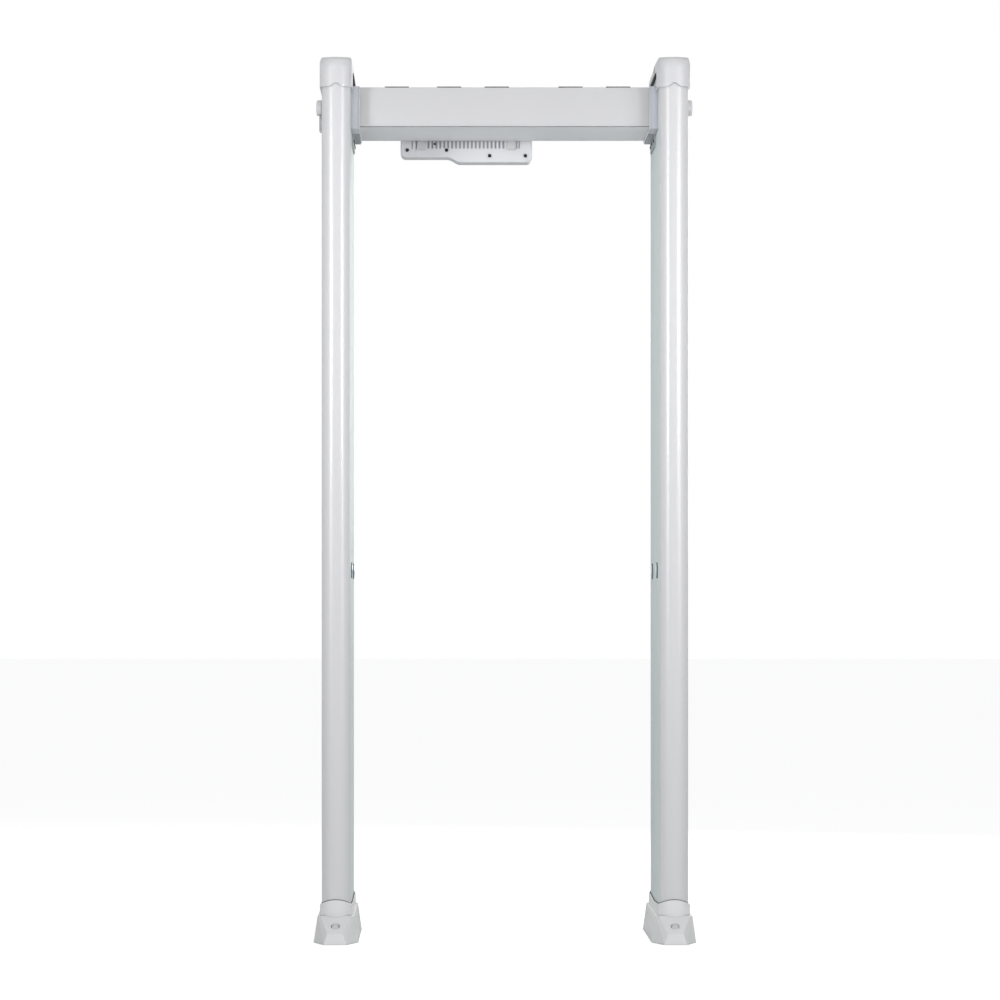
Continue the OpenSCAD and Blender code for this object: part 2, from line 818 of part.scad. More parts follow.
edge(-1, false);  // left_edge_back
edge(-1, true);  // left_edge_front
skin_inner(-1);  // left_skin_inner
skin_outer(-1);  // left_skin_outer
core(-1);  // left_core
coil(-1);  // left_coil
foot(-1);  // left_foot
cap(-1);  // left_cap
cap_trim(-1);  // left_cap_trim
saddle(-1);  // left_saddle
cleat(-1);  // left_cleat
edge(1, false);  // right_edge_back
edge(1, true);  // right_edge_front
skin_inner(1);  // right_skin_inner
skin_outer(1);  // right_skin_outer
core(1);  // right_core
coil(1);  // right_coil
foot(1);  // right_foot
cap(1);  // right_cap
cap_trim(1);  // right_cap_trim
saddle(1);  // right_saddle
cleat(1);  // right_cleat
right_cap_lens();
foot_screws();
cleat_screws();
sensor_rings();
sensor_lenses();
beam_bushes();
knob(-1, -knob_y);  // knob_left_back
knob(-1, knob_y);  // knob_left_front
knob(1, -knob_y);  // knob_right_back
knob(1, knob_y);  // knob_right_front
stud(-1, -knob_y);  // stud_left_back
stud(-1, knob_y);  // stud_left_front
stud(1, -knob_y);  // stud_right_back
stud(1, knob_y);  // stud_right_front
beam_cover(false);  // beam_cover_back
beam_cover(true);  // beam_cover_front
beam_tray();
beam_lid();
lid_clips();
beam_end_plates();
unit_bracket();
unit_rear();
unit_face();
unit_screws();
unit_board();
display_window();
display_panel();
key(0);  // key_1
key(1);  // key_2
key(2);  // key_3
key(3);  // key_4
lock_body();
lock_barrel();
power_supply();
inlet_socket();
inlet_contacts();
inlet_flap();
inlet_hinge_pin();
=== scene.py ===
"""Looks for the walk-through gate: detailed pieces, materials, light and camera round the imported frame."""
import math

import bmesh
import bpy
from mathutils import Matrix, Vector


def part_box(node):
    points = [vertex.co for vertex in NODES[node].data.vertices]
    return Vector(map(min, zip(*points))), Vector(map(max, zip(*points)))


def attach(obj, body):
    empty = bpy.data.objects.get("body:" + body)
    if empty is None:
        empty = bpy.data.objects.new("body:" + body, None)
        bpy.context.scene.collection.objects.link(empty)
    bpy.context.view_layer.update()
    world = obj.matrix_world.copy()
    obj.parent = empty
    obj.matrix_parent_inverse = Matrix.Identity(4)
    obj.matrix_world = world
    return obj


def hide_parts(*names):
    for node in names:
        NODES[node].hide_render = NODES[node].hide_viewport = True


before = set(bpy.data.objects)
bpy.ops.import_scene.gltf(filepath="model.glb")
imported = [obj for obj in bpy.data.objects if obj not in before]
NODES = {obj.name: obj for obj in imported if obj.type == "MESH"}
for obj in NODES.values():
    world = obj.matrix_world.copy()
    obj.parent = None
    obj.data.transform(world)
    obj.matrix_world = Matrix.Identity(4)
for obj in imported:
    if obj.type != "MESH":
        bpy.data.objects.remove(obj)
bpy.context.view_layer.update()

MM = 0.001
SIDES = (("left", -1), ("right", 1))
ENDS = (("back", -1), ("front", 1))
SHEET_EDGE = 0.8 * MM


# ---- Sizes read from the frame ----

def low(node):
    """The lower corner of a node's box."""
    return Vector(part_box(node)[0])


def high(node):
    """The upper corner of a node's box."""
    return Vector(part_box(node)[1])


inner_x = low("right_skin_inner").x
outer_x = high("right_skin_outer").x
column_x = (inner_x + outer_x) / 2
half_column = (outer_x - inner_x) / 2
seam = 0.5 * MM
half_flat = high("right_skin_inner").y + seam
nose = high("right_edge_front").y - half_flat
column_base = low("right_edge_back").z
column_top = high("right_edge_back").z
corner_r = 14 * MM
corner_u = half_column - corner_r
nose_rise = nose - corner_r
nose_centre = (corner_u ** 2 - nose_rise ** 2) / (2 * nose_rise)
nose_r = nose + nose_centre


# ---- Mesh helpers ----

def mm(*points):
    """Points written in millimetres, in metres."""
    return [tuple(value * MM for value in point) for point in points]


def piece(name, mesh, material, body, stands_for=(), smooth=35):
    """Puts a mesh in the scene as a named piece that rides on a body."""
    obj = bpy.data.objects.new(name, mesh)
    bpy.context.scene.collection.objects.link(obj)
    obj.data.materials.clear()
    obj.data.materials.append(material)
    mesh.shade_smooth()
    mesh.set_sharp_from_angle(angle=math.radians(smooth))
    if stands_for:
        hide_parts(*stands_for)
    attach(obj, body)
    return obj


def from_bmesh(bm, name):
    """A mesh from a bmesh, with its faces turned outwards."""
    bmesh.ops.recalc_face_normals(bm, faces=bm.faces)
    mesh = bpy.data.meshes.new(name)
    bm.to_mesh(mesh)
    bm.free()
    return mesh


def loft(name, rings, closed=False):
    """A skin through loops of equal length: capped at both ends, or closed on itself like a tube."""
    bm = bmesh.new()
    made = [[bm.verts.new(p) for p in ring] for ring in rings]
    pairs = list(zip(made, made[1:]))
    if closed:
        pairs.append((made[-1], made[0]))
    for a, b in pairs:
        n = len(a)
        for i in range(n):
            bm.faces.new((a[i], a[(i + 1) % n], b[(i + 1) % n], b[i]))
    if not closed:
        bm.faces.new(list(reversed(made[0])))
        bm.faces.new(made[-1])
    return from_bmesh(bm, name)


def lathe(name, profile, origin, axis, segments=64):
    """Turns (radius, height) points about an axis; a radius of 0 closes an end."""
    turn = Vector((0, 0, 1)).rotation_difference(Vector(axis)).to_matrix().to_4x4()
    place = Matrix.Translation(Vector(origin)) @ turn
    bm = bmesh.new()
    rings = []
    for r, h in profile:
        if r == 0:
            rings.append([bm.verts.new(place @ Vector((0, 0, h)))])
            continue
        ring = []
        for k in range(segments):
            a = 2 * math.pi * k / segments
            ring.append(bm.verts.new(place @ Vector((r * math.cos(a), r * math.sin(a), h))))
        rings.append(ring)
    for a, b in zip(rings, rings[1:]):
        for k in range(segments):
            j = (k + 1) % segments
            if len(a) == 1 and len(b) > 1:
                bm.faces.new((a[0], b[k], b[j]))
            elif len(b) == 1 and len(a) > 1:
                bm.faces.new((a[k], a[j], b[0]))
            elif len(a) > 1:
                bm.faces.new((a[k], a[j], b[j], b[k]))
    return from_bmesh(bm, name)


def block(lo, hi):
    """A plain box as a bmesh, for cutting and bevelling."""
    bm = bmesh.new()
    bmesh.ops.create_cube(bm, size=1)
    size = Vector(hi) - Vector(lo)
    middle = (Vector(hi) + Vector(lo)) / 2
    for v in bm.verts:
        v.co = Vector((v.co.x * size.x, v.co.y * size.y, v.co.z * size.z)) + middle
    return bm


def rounded_block(name, lo, hi, radius, steps=3):
    """A box with all its edges rounded."""
    bm = block(lo, hi)
    bmesh.ops.bevel(bm, geom=bm.edges[:], offset=radius, segments=steps, profile=0.5, affect="EDGES")
    return from_bmesh(bm, name)


def joined(name, meshes):
    """Several meshes as one, each kept as its own shell."""
    bm = bmesh.new()
    for mesh in meshes:
        bm.from_mesh(mesh)
        bpy.data.meshes.remove(mesh)
    return from_bmesh(bm, name)


def cut(mesh, cutters):
    """Takes each cutter mesh out of a mesh and gives the result."""
    target = bpy.data.objects.new("cut_target", mesh)
    bpy.context.scene.collection.objects.link(target)
    for cutter in cutters:
        tool = bpy.data.objects.new("cut_tool", cutter)
        bpy.context.scene.collection.objects.link(tool)
        mod = target.modifiers.new("cut", "BOOLEAN")
        mod.operation = "DIFFERENCE"
        mod.solver = "EXACT"
        mod.object = tool
        graph = bpy.context.evaluated_depsgraph_get()
        result = bpy.data.meshes.new_from_object(target.evaluated_get(graph))
        target.modifiers.clear()
        old = target.data
        target.data = result
        bpy.data.meshes.remove(old)
        bpy.data.objects.remove(tool)
        bpy.data.meshes.remove(cutter)
    result = target.data
    bpy.data.objects.remove(target)
    return result


def softened(obj, width, steps=2, angle=30):
    """A small bevel along the hard edges, so that they catch the light."""
    mod = obj.modifiers.new("edge", "BEVEL")
    mod.width = width
    mod.segments = steps
    mod.limit_method = "ANGLE"
    mod.angle_limit = math.radians(angle)
    mod.harden_normals = False
    return obj


# ---- Materials ----

DRIFT_SCALE = 3.0
SMUDGE_SCALE = 6 * DRIFT_SCALE
ROUGH_VARY = 0.06
GRAIN_HEIGHT = 0.2 * MM
# Painted shade: how dark the colour goes in corners and recesses, and the ambient occlusion values at which
# that painted shade is full and gone.
PAINTED_SHADE_TONE = 0.45
AO_FULL_PAINTED_SHADE, AO_NO_PAINTED_SHADE = 0.35, 0.95


def material(name, colour, rough=0.4, metal=0.0, coat=0.0, bump=0.0, grain=400.0, vary=0.03,
             stretch=(1, 1, 1), painted_shade=0.0, painted_shade_reach=0.012, coat_rough=0.1):
    """A surface with slow colour drift, varied roughness, fine grain in relief and painted shade that
    darkens it in corners and recesses where ambient occlusion finds them.
    """
    mat = bpy.data.materials.new(name)
    mat.use_nodes = True
    tree = mat.node_tree
    shader = tree.nodes["Principled BSDF"]
    shader.inputs["Metallic"].default_value = metal
    shader.inputs["Coat Weight"].default_value = coat
    shader.inputs["Coat Roughness"].default_value = coat_rough
    link = tree.links.new
    coords = tree.nodes.new("ShaderNodeTexCoord")
    mapping = tree.nodes.new("ShaderNodeMapping")
    mapping.inputs["Scale"].default_value = stretch
    link(coords.outputs["Object"], mapping.inputs["Vector"])

    slow = tree.nodes.new("ShaderNodeTexNoise")
    slow.inputs["Scale"].default_value = DRIFT_SCALE
    slow.inputs["Detail"].default_value = 4
    link(mapping.outputs["Vector"], slow.inputs["Vector"])
    ramp = tree.nodes.new("ShaderNodeValToRGB")
    ramp.color_ramp.elements[0].position = 0.3
    ramp.color_ramp.elements[1].position = 0.7
    ramp.color_ramp.elements[0].color = [max(0, c * (1 - vary)) for c in colour] + [1]
    ramp.color_ramp.elements[1].color = [min(1, c * (1 + vary)) for c in colour] + [1]
    link(slow.outputs["Fac"], ramp.inputs["Fac"])
    colour_out = ramp.outputs["Color"]
    # Painted shade: the colour darkens where ambient occlusion finds a surface close by.
    if painted_shade > 0:
        corner = tree.nodes.new("ShaderNodeAmbientOcclusion")
        corner.inputs["Distance"].default_value = painted_shade_reach
        corner.samples = 8
        flip = tree.nodes.new("ShaderNodeMapRange")
        flip.inputs["From Min"].default_value = AO_FULL_PAINTED_SHADE
        flip.inputs["From Max"].default_value = AO_NO_PAINTED_SHADE
        flip.inputs["To Min"].default_value = painted_shade
        flip.inputs["To Max"].default_value = 0.0
        link(corner.outputs["AO"], flip.inputs["Value"])
        mix = tree.nodes.new("ShaderNodeMix")
        mix.data_type = "RGBA"
        mix.inputs["B"].default_value = [c * PAINTED_SHADE_TONE for c in colour] + [1]
        link(flip.outputs["Result"], mix.inputs["Factor"])
        link(colour_out, mix.inputs["A"])
        colour_out = mix.outputs["Result"]
    link(colour_out, shader.inputs["Base Color"])

    fine = tree.nodes.new("ShaderNodeTexNoise")
    fine.inputs["Scale"].default_value = grain
    fine.inputs["Detail"].default_value = 3
    link(mapping.outputs["Vector"], fine.inputs["Vector"])
    spread = tree.nodes.new("ShaderNodeMapRange")
    spread.inputs["To Min"].default_value = max(0.02, rough - ROUGH_VARY)
    spread.inputs["To Max"].default_value = min(1, rough + ROUGH_VARY)
    smudge = tree.nodes.new("ShaderNodeTexNoise")
    smudge.inputs["Scale"].default_value = SMUDGE_SCALE
    smudge.inputs["Detail"].default_value = 6
    link(mapping.outputs["Vector"], smudge.inputs["Vector"])
    link(smudge.outputs["Fac"], spread.inputs["Value"])
    link(spread.outputs["Result"], shader.inputs["Roughness"])
    if bump > 0:
        relief = tree.nodes.new("ShaderNodeBump")
        relief.inputs["Strength"].default_value = bump
        relief.inputs["Distance"].default_value = GRAIN_HEIGHT
        link(fine.outputs["Fac"], relief.inputs["Height"])
        link(relief.outputs["Normal"], shader.inputs["Normal"])
    return mat


# The darkening amounts given below are painted shade in corners and recesses; the tray's 10 cm reach darkens
# it towards the columns.
profile_white = material("profile_white", (0.79, 0.79, 0.805), rough=0.32, coat=0.6, coat_rough=0.2,
                         bump=0.03, grain=160, stretch=(1, 1, 0.12), vary=0.012, painted_shade=0.6,
                         painted_shade_reach=0.008)
panel_white = material("panel_white", (0.77, 0.835, 0.825), rough=0.5, bump=0.05, grain=700, vary=0.02,
                       painted_shade=0.3)
skin_white = material("skin_white", (0.78, 0.79, 0.80), rough=0.48, coat=0.05, bump=0.05, grain=700,
                      vary=0.015, painted_shade=0.3)
moulded_white = material("moulded_white", (0.77, 0.77, 0.79), rough=0.40, coat=0.1, bump=0.10,
                         grain=1400, vary=0.012, painted_shade=0.4)
unit_white = material("unit_white", (0.84, 0.84, 0.865), rough=0.40, coat=0.1, bump=0.10, grain=1400,
                      vary=0.01, painted_shade=0.35)
cast_white = material("cast_white", (0.89, 0.90, 0.905), rough=0.34, coat=0.7, bump=0.14, grain=520,
                      vary=0.02, painted_shade=0.8, painted_shade_reach=0.006)
sheet_white = material("sheet_white", (0.69, 0.69, 0.70), rough=0.42, coat=0.1, bump=0.06, grain=900,
                       vary=0.012, painted_shade=0.3)
tray_grey = material("tray_grey", (0.92, 0.93, 0.96), rough=0.45, bump=0.05, grain=900, vary=0.02,
                     painted_shade=0.6, painted_shade_reach=0.1)
# Saddle sleeve and lip: painted shade and painted highlight on what is one part.
saddle_painted_shade_grey = material("saddle_painted_shade_grey", (0.68, 0.69, 0.75), rough=0.40, bump=0.08, grain=900, vary=0.02,
                       painted_shade=0.4)
inlet_grey = material("inlet_grey", (0.58, 0.60, 0.64), rough=0.4, coat=0.1, bump=0.08, grain=1400,
                      vary=0.02, painted_shade=0.5)
lip_painted_highlight_white = material("lip_painted_highlight_white", (0.80, 0.81, 0.84), rough=0.35, coat=0.2, bump=0.05, grain=900,
                     vary=0.01, painted_shade=0.2)
black_gloss = material("black_gloss", (0.012, 0.013, 0.015), rough=0.12, coat=0.8, vary=0.2)
smoke_glass = material("smoke_glass", (0.30, 0.36, 0.37), rough=0.10, coat=1.0, vary=0.1)
# A dark grey for thin strips of painted shade: in the gap round each column foot and under each beam cover's
# bead.
painted_shade_grey = material("painted_shade_grey", (0.13, 0.13, 0.14), rough=0.6, bump=0.1, grain=1500, vary=0.1)
vent_painted_shade_grey = material("vent_painted_shade_grey", (0.44, 0.45, 0.49), rough=0.7, bump=0.2, grain=1500, vary=0.1)
screw_black = material("screw_black", (0.018, 0.018, 0.02), rough=0.45, bump=0.1, grain=1800, vary=0.15)
painted_shade_black = material("painted_shade_black", (0.03, 0.03, 0.033), rough=0.6, bump=0.15, grain=1500, vary=0.15)
dark_screw = material("dark_screw", (0.05, 0.05, 0.055), rough=0.35, metal=0.9, bump=0.1, grain=2000,
                      vary=0.2)
lens_green = material("lens_green", (0.38, 0.66, 0.72), rough=0.10, coat=1.0, vary=0.1)
ring_grey = material("ring_grey", (0.13, 0.18, 0.19), rough=0.4, bump=0.1, grain=1500, vary=0.1)
zinc = material("zinc", (0.60, 0.61, 0.63), rough=0.32, metal=1.0, bump=0.08, grain=900, vary=0.06,
                stretch=(1, 1, 6))
bracket_steel = material("bracket_steel", (0.44, 0.47, 0.48), rough=0.5, metal=0.4, bump=0.08,
                         grain=900, vary=0.08)
brass = material("brass", (0.62, 0.46, 0.18), rough=0.28, metal=1.0, bump=0.05, grain=900, vary=0.08)
copper = material("copper", (0.55, 0.22, 0.09), rough=0.3, metal=1.0, bump=0.1, grain=500, vary=0.1)
timber = material("timber", (0.50, 0.34, 0.17), rough=0.65, bump=0.3, grain=60, stretch=(8, 8, 0.6),
                  vary=0.25)
board_green = material("board_green", (0.03, 0.16, 0.07), rough=0.35, bump=0.1, grain=600, vary=0.2)
display_black = material("display_black", (0.015, 0.02, 0.024), rough=0.08, coat=1.0, vary=0.2)
display_grey = material("display_grey", (0.10, 0.14, 0.11), rough=0.5, bump=0.05, vary=0.1)
key_grey = material("key_grey", (0.10, 0.115, 0.13), rough=0.5, bump=0.15, grain=1500, vary=0.08)
case_metal = material("case_metal", (0.60, 0.61, 0.62), rough=0.35, metal=1.0, bump=0.08, grain=600,
                      vary=0.05)


# ---- Columns ----

def bow(cx, cy, r, a0, a1, steps):
    """Points along an arc from angle a0 to a1, in degrees."""
    angles = [math.radians(a0 + (a1 - a0) * i / steps) for i in range(steps + 1)]
    return [(cx + r * math.cos(a), cy + r * math.sin(a)) for a in angles]


tangent_angle = math.degrees(math.atan2(nose_centre, corner_u))


def nose_points(grow=0.0):
    """The rounded edge's outline from its right foot to its left, standing on v = 0."""
    right = bow(corner_u, 0, corner_r + grow, 0, tangent_angle, 8)
    front = bow(0, -nose_centre, nose_r + grow, tangent_angle, 180 - tangent_angle, 36)[1:-1]
    left = bow(-corner_u, 0, corner_r + grow, 180 - tangent_angle, 180, 8)
    return right + front + left


def column_points(grow=0.0):
    """The whole column's outline, anticlockwise from its right front corner."""
    front = [(u, v + half_flat) for u, v in nose_points(grow)]
    side = [half_flat * (1 - i / 12) for i in range(1, 24) if i != 12] + [0]
    side = sorted(side, reverse=True)
    left = [(-half_column - grow, y) for y in side]
    back = [(-u, -v) for u, v in front]
    right = [(half_column + grow, -y) for y in side]
    return front + left + back + right


def at(sx, u, v, z):
    """A point given from a column's centre line, on the side sx of the passage."""
    return Vector((sx * (column_x + u), v, z))


def build_edges():
    """The rounded profiles down the back and front of each column, with a tongue between the skins."""
    tongue = 20 * MM
    core = half_column - 2 * MM
    relief = 0.7 * MM
    chamfer = 0.15 * MM
    for side, sx in SIDES:
        for end, sy in ENDS:
            start = [(core, -tongue), (core, 0), (half_column - relief, 0), (half_column - chamfer, relief)]
            finish = [(-u, v) for u, v in reversed(start)]
            outline = start + nose_points()[1:-1] + finish
            rings = []
            for z in (column_base, column_top):
                rings.append([at(sx, u, sy * (half_flat + v), z) for u, v in outline])
            name = f"{side}_edge_{end}"
            piece(f"{name}_profile", loft(name, rings), profile_white, "gate", [name], 40)


def build_skins():
    """The flat sheets on each column's two broad sides."""
    faces = (("inner", panel_white, "panel_white"), ("outer", skin_white, "profile_white"))
    for side, _ in SIDES:
        for face, mat, slot in faces:
            node = f"{side}_skin_{face}"
            mesh = rounded_block(node, low(node), high(node), SHEET_EDGE, 2)
            piece(f"{node}_sheet", mesh, mat, "gate", [node], 50)


# ---- Caps ----

cap_base = low("left_cap").z
cap_peak = high("left_cap").z
crown = 8 * MM
cap_top = cap_peak - crown
overhang = 5 * MM
cap_end_r = 28 * MM
cap_side_r = 19 * MM
cap_side_draw = 6 * MM
cap_cut_z = high("left_cap_trim").z


def cap_ring(z, side_in, end_in, lift):
    """One loop round a cap, drawn in by different amounts at its sides and its ends."""
    half_u = half_column + overhang
    half_v = half_flat + nose + overhang
    ring = []
    for u, v in column_points(overhang):
        y = v * (half_v - end_in) / half_v
        x = u * (half_u - side_in) / half_u
        swell = crown * max(0.0, 1 - (y / (half_v - cap_end_r)) ** 2)
        ring.append((x, y, z + lift * swell))
    return ring


def cap_rings():
    """The loops of a cap, from its lower lip over its rounded ends and sides to the middle of its top."""
    start = cap_top - cap_end_r
    lip = 0.9 * MM
    rings = [cap_ring(cap_base, lip, lip, 0), cap_ring(cap_base + 0.25 * lip, 0.3 * lip, 0.3 * lip, 0),
             cap_ring(cap_base + lip, 0, 0, 0)]
    for i in range(1, 6):
        rings.append(cap_ring(cap_base + lip + (start - cap_base - lip) * i / 6, 0, 0, 0))
    for i in range(0, 13):
        a = math.radians(90 * i / 12)
        z = start + cap_end_r * math.sin(a)
        rise = max(0.0, (z - cap_top + cap_side_r) / cap_side_r)
        side_in = cap_side_draw * (1 - math.sqrt(max(0.0, 1 - rise * rise)))
        rings.append(cap_ring(z, side_in, cap_end_r * (1 - math.cos(a)), (z - start) / cap_end_r))
    for inset in (0.6, 1.6, 3.5, 8, 16, 26):
        rings.append(cap_ring(cap_top, cap_side_draw + inset * MM, cap_end_r + inset * MM, 1))
    return rings


def scallop_cutter(sx, sy):
    """The smooth notch in the middle of a cap's lower edge."""
    half = 19 * MM
    height = 9.5 * MM
    foot_z = cap_base - 6 * MM
    start_z = cap_base - 0.05 * MM
    near, length = half_flat + 2 * MM, 60 * MM
    wave = []
    for i in range(25):
        t = -1 + 2 * i / 24
        wave.append((t * half, start_z + height * (0.5 + 0.5 * math.cos(math.pi * t))))
    loop = [(half, foot_z), (-half, foot_z)] + wave
    rings = [[at(sx, u, sy * y, z) for u, z in loop] for y in (near, near + length)]
    return loft("scallop", rings)


def cap_solid(sx):
    """A cap as one closed shape, before its opening and scallops are cut."""
    rings = [[at(sx, x, y, z) for x, y, z in ring] for ring in cap_rings()]
    return loft("cap", rings)


def lens_patch(half_y, z0, z1, bulge):
    """A pillow-shaped window over the inner top corner of the right cap."""
    rows, columns = 14, 28
    sunk, thick = 0.8 * MM, 5 * MM
    lean, lean_run = 9 * MM, 25 * MM
    side_fade, end_fade, taper = 9, 7, 0.10
    face, back = [], []
    bm = bmesh.new()
    for j in range(columns + 1):
        t = -1 + 2 * j / columns
        face.append([])
        back.append([])
        for i in range(rows + 1):
            s = i / rows
            z = z0 + (z1 - z0) * s
            part = min(1.0, max(0.0, (z - cap_top + cap_side_r) / lean_run))
            side_in = lean * (1 - math.sqrt(max(0.0, 1 - part * part)))
            edge = min(1.0, (1 - abs(t)) * side_fade, s * end_fade, (1 - s) * end_fade)
            raised = bulge * math.sin(math.pi / 2 * max(0.0, edge)) - sunk
            y = t * half_y * (1 - taper * (2 * abs(s - 0.5)) ** 4)
            x = -(half_column + overhang) + side_in
            face[j].append(bm.verts.new(at(1, x - raised, y, z)))
            back[j].append(bm.verts.new(at(1, x - raised + thick, y, z)))
    for j in range(columns):
        for i in range(rows):
            bm.faces.new((face[j][i], face[j][i + 1], face[j + 1][i + 1], face[j + 1][i]))
            bm.faces.new((back[j][i], back[j + 1][i], back[j + 1][i + 1], back[j][i + 1]))
    for j in range(columns):
        for i in (0, rows):
            bm.faces.new((face[j][i], face[j + 1][i], back[j + 1][i], back[j][i]))
    for i in range(rows):
        for j in (0, columns):
            bm.faces.new((face[j][i], back[j][i], back[j][i + 1], face[j][i + 1]))
    return from_bmesh(bm, "lens")


def build_lens():
    """A dark frame with a smoky pane in it."""
    half_y = (high("right_cap_lens").y - low("right_cap_lens").y) / 2
    z0, z1 = low("right_cap_lens").z, cap_top + 5.5 * MM
    rim_side, rim_low, rim_high = 7 * MM, 5 * MM, 5.5 * MM
    frame_mesh = lens_patch(half_y, z0, z1, 2.6 * MM)
    piece("right_cap_window", frame_mesh, black_gloss, "gate", ["right_cap_lens"], 50)
    pane = lens_patch(half_y - rim_side, z0 + rim_low, z1 - rim_high, 2.75 * MM)
    piece("right_cap_pane", pane, smoke_glass, "gate", (), 50)


def build_caps():
    """The moulded cap on each column, open over the saddle, with a black strip along the opening's top that
    paints the shadow of a gap there.
    """
    for side, sx in SIDES:
        reach = high(f"{side}_saddle").y + 0.7 * MM
        xs = sorted((sx * (inner_x - 30 * MM), sx * (inner_x + 0.25 * MM)))
        opening = block((xs[0], -reach, cap_base - 20 * MM), (xs[1], reach, cap_cut_z))
        cutters = [from_bmesh(opening, "opening"), scallop_cutter(sx, -1), scallop_cutter(sx, 1)]
        mesh = cut(cap_solid(sx), cutters)
        piece(f"{side}_cap_moulding", mesh, moulded_white, "gate", [f"{side}_cap"], 38)
        # Painted shade: a black strip standing for the shadow in a gap along the opening's top.
        trim = f"{side}_cap_trim"
        mesh = rounded_block(trim, low(trim), high(trim), 1.6 * MM)
        piece(f"{trim}_strip", mesh, painted_shade_black, "gate", [trim], 60)


# ---- Feet ----

ledge_z = 67 * MM
seat_z = 22 * MM
seat_r = 11 * MM
floor_bolt_r = 6 * MM
toe_slope = 0.68
edge_bevel = 1.6 * MM


def foot_base(sx):
    """The toes and ledge of a casting: a prism that starts below the floor, cut to shape by planes."""
    under = -20 * MM
    foot_lo, foot_hi = low("right_foot"), high("right_foot")
    half_w = (foot_hi.x - foot_lo.x) / 2
    end = foot_hi.y
    toe_half, toe_top, toe_z = 28 * MM, 19 * MM, 27 * MM
    toe_lean, side_lean = 4 * MM, 10 * MM
    shoulder = half_flat + 4 * MM
    plan = [(toe_half, -end), (half_w, -shoulder), (half_w, shoulder), (toe_half, end),
            (-toe_half, end), (-half_w, shoulder), (-half_w, -shoulder), (-toe_half, -end)]
    bm = bmesh.new()
    lower = [bm.verts.new((x, y, under)) for x, y in plan]
    upper = [bm.verts.new((x, y, ledge_z)) for x, y in plan]
    bm.faces.new(list(reversed(lower)))
    bm.faces.new(upper)
    for i in range(8):
        j = (i + 1) % 8
        bm.faces.new((lower[i], lower[j], upper[j], upper[i]))

    def shave(point, normal, snap=1e-6):
        geom = bm.verts[:] + bm.edges[:] + bm.faces[:]
        done = bmesh.ops.bisect_plane(bm, geom=geom, dist=snap, plane_co=point, plane_no=normal,
                                      clear_outer=True)
        rim = [e for e in done["geom_cut"] if isinstance(e, bmesh.types.BMEdge)]
        if rim:
            bmesh.ops.contextual_create(bm, geom=rim)

    for mx in (1, -1):
        for my in (1, -1):
            def turned(p):
                return Vector((p[0] * mx, p[1] * my, p[2]))
            tip, front = (toe_half, end, 0), (toe_top, end - toe_lean, toe_z)
            ledge, corner = (half_w - side_lean, half_flat + 13 * MM, ledge_z), (half_w, shoulder, 0)
            side = (Vector(corner) - Vector(ledge)).cross(Vector(tip) - Vector(ledge))
            slant = (Vector(front) - Vector(tip)).cross(Vector(ledge) - Vector(tip))
            shave(turned(tip), turned(side))
            shave(turned(front), turned(slant))
            if mx == 1:
                back_y = half_flat + nose + 3 * MM
                shave(turned(front), turned((0, ledge_z - 2 * MM - toe_z, front[1] - back_y)))
                shave(turned(tip), turned((0, toe_z, toe_lean)))
        shave(Vector((mx * half_w, 0, 0)), Vector((mx * ledge_z, 0, side_lean)))
    bmesh.ops.remove_doubles(bm, verts=bm.verts, dist=1e-5)
    bmesh.ops.recalc_face_normals(bm, faces=bm.faces)
    edges = [e for e in bm.edges if len(e.link_faces) == 2 and e.calc_face_angle() > math.radians(12)
             and max(v.co.z for v in e.verts) > 1 * MM]
    bmesh.ops.bevel(bm, geom=edges, offset=edge_bevel, segments=3, profile=0.5, affect="EDGES",
                    clamp_overlap=True)
    shave((0, 0, 0), (0, 0, -1), snap=1e-7)
    for v in bm.verts:
        v.co.x = sx * (column_x + v.co.x)
    return from_bmesh(bm, "foot")


collar_rim = high("right_foot").z
collar_dip = 12 * MM
collar_half = half_column + 4.5 * MM
arch_r = (collar_half ** 2 + collar_dip ** 2) / (2 * collar_dip)


def collar_top(u, v):
    """Height of a collar's edge: dipping along the flat sides, arched over the rounded edges."""
    along = abs(v) / half_flat
    if along <= 1:
        return collar_rim - collar_dip - 7 * MM * (1 - along)
    return collar_rim - arch_r + math.sqrt(arch_r ** 2 - min(abs(u), collar_half) ** 2)


def collar(sx):
    """The sleeve round a column's foot, from (growth, drop below its edge) loops over two level ones."""
    inner, wall = 1.1 * MM, 3.4 * MM
    root_z, swell_z, swell = 50 * MM, 58 * MM, 0.5 * MM
    lip = [(wall, 2.2), (wall - 0.15 * MM, 1.2), (wall - 0.6 * MM, 0.4), (wall - 1.3 * MM, 0.05),
           (wall - 2.1 * MM, 0.05), (0.5 * MM, 0.4), (0.12 * MM, 1.0), (0, 1.8)]
    rings = []
    for grow, z in ((wall, root_z), (wall + swell, swell_z)):
        rings.append([at(sx, u, v, z) for u, v in column_points(inner + grow)])
    for grow, drop in lip:
        rings.append([at(sx, u, v, collar_top(u, v) - drop * MM) for u, v in column_points(inner + grow)])
    rings.append([at(sx, u, v, root_z) for u, v in column_points(inner)])
    return loft("collar", rings, closed=True)


def gap_shade_ring(sx):
    """A thin dark ring in the gap between a column and its collar: painted shade for that gap, from (growth,
    height above the edge) loops.
    """
    rings = []
    for grow, up in mm((0.05, -6), (0.05, 1.2), (0.3, 1.5), (0.8, 1.5), (1.05, 1.1), (1.05, -6)):
        rings.append([at(sx, u, v, collar_top(u, v) + up) for u, v in column_points(grow)])
    return loft("gap_shade_ring", rings, closed=True)


def bolt_cover(spot, sy):
    """A plug over a floor bolt, sheared so that its face lies along the toe's slope."""
    section = mm((0, 20.4), (6, 20.3), (7.8, 20.0), (8.6, 19.2), (8.9, 18), (8.9, 8), (0, 8))
    mesh = lathe("bolt_cover", section, spot, (0, 0, 1), 48)
    for v in mesh.vertices:
        v.co.z -= toe_slope * sy * (v.co.y - spot.y)
    return mesh


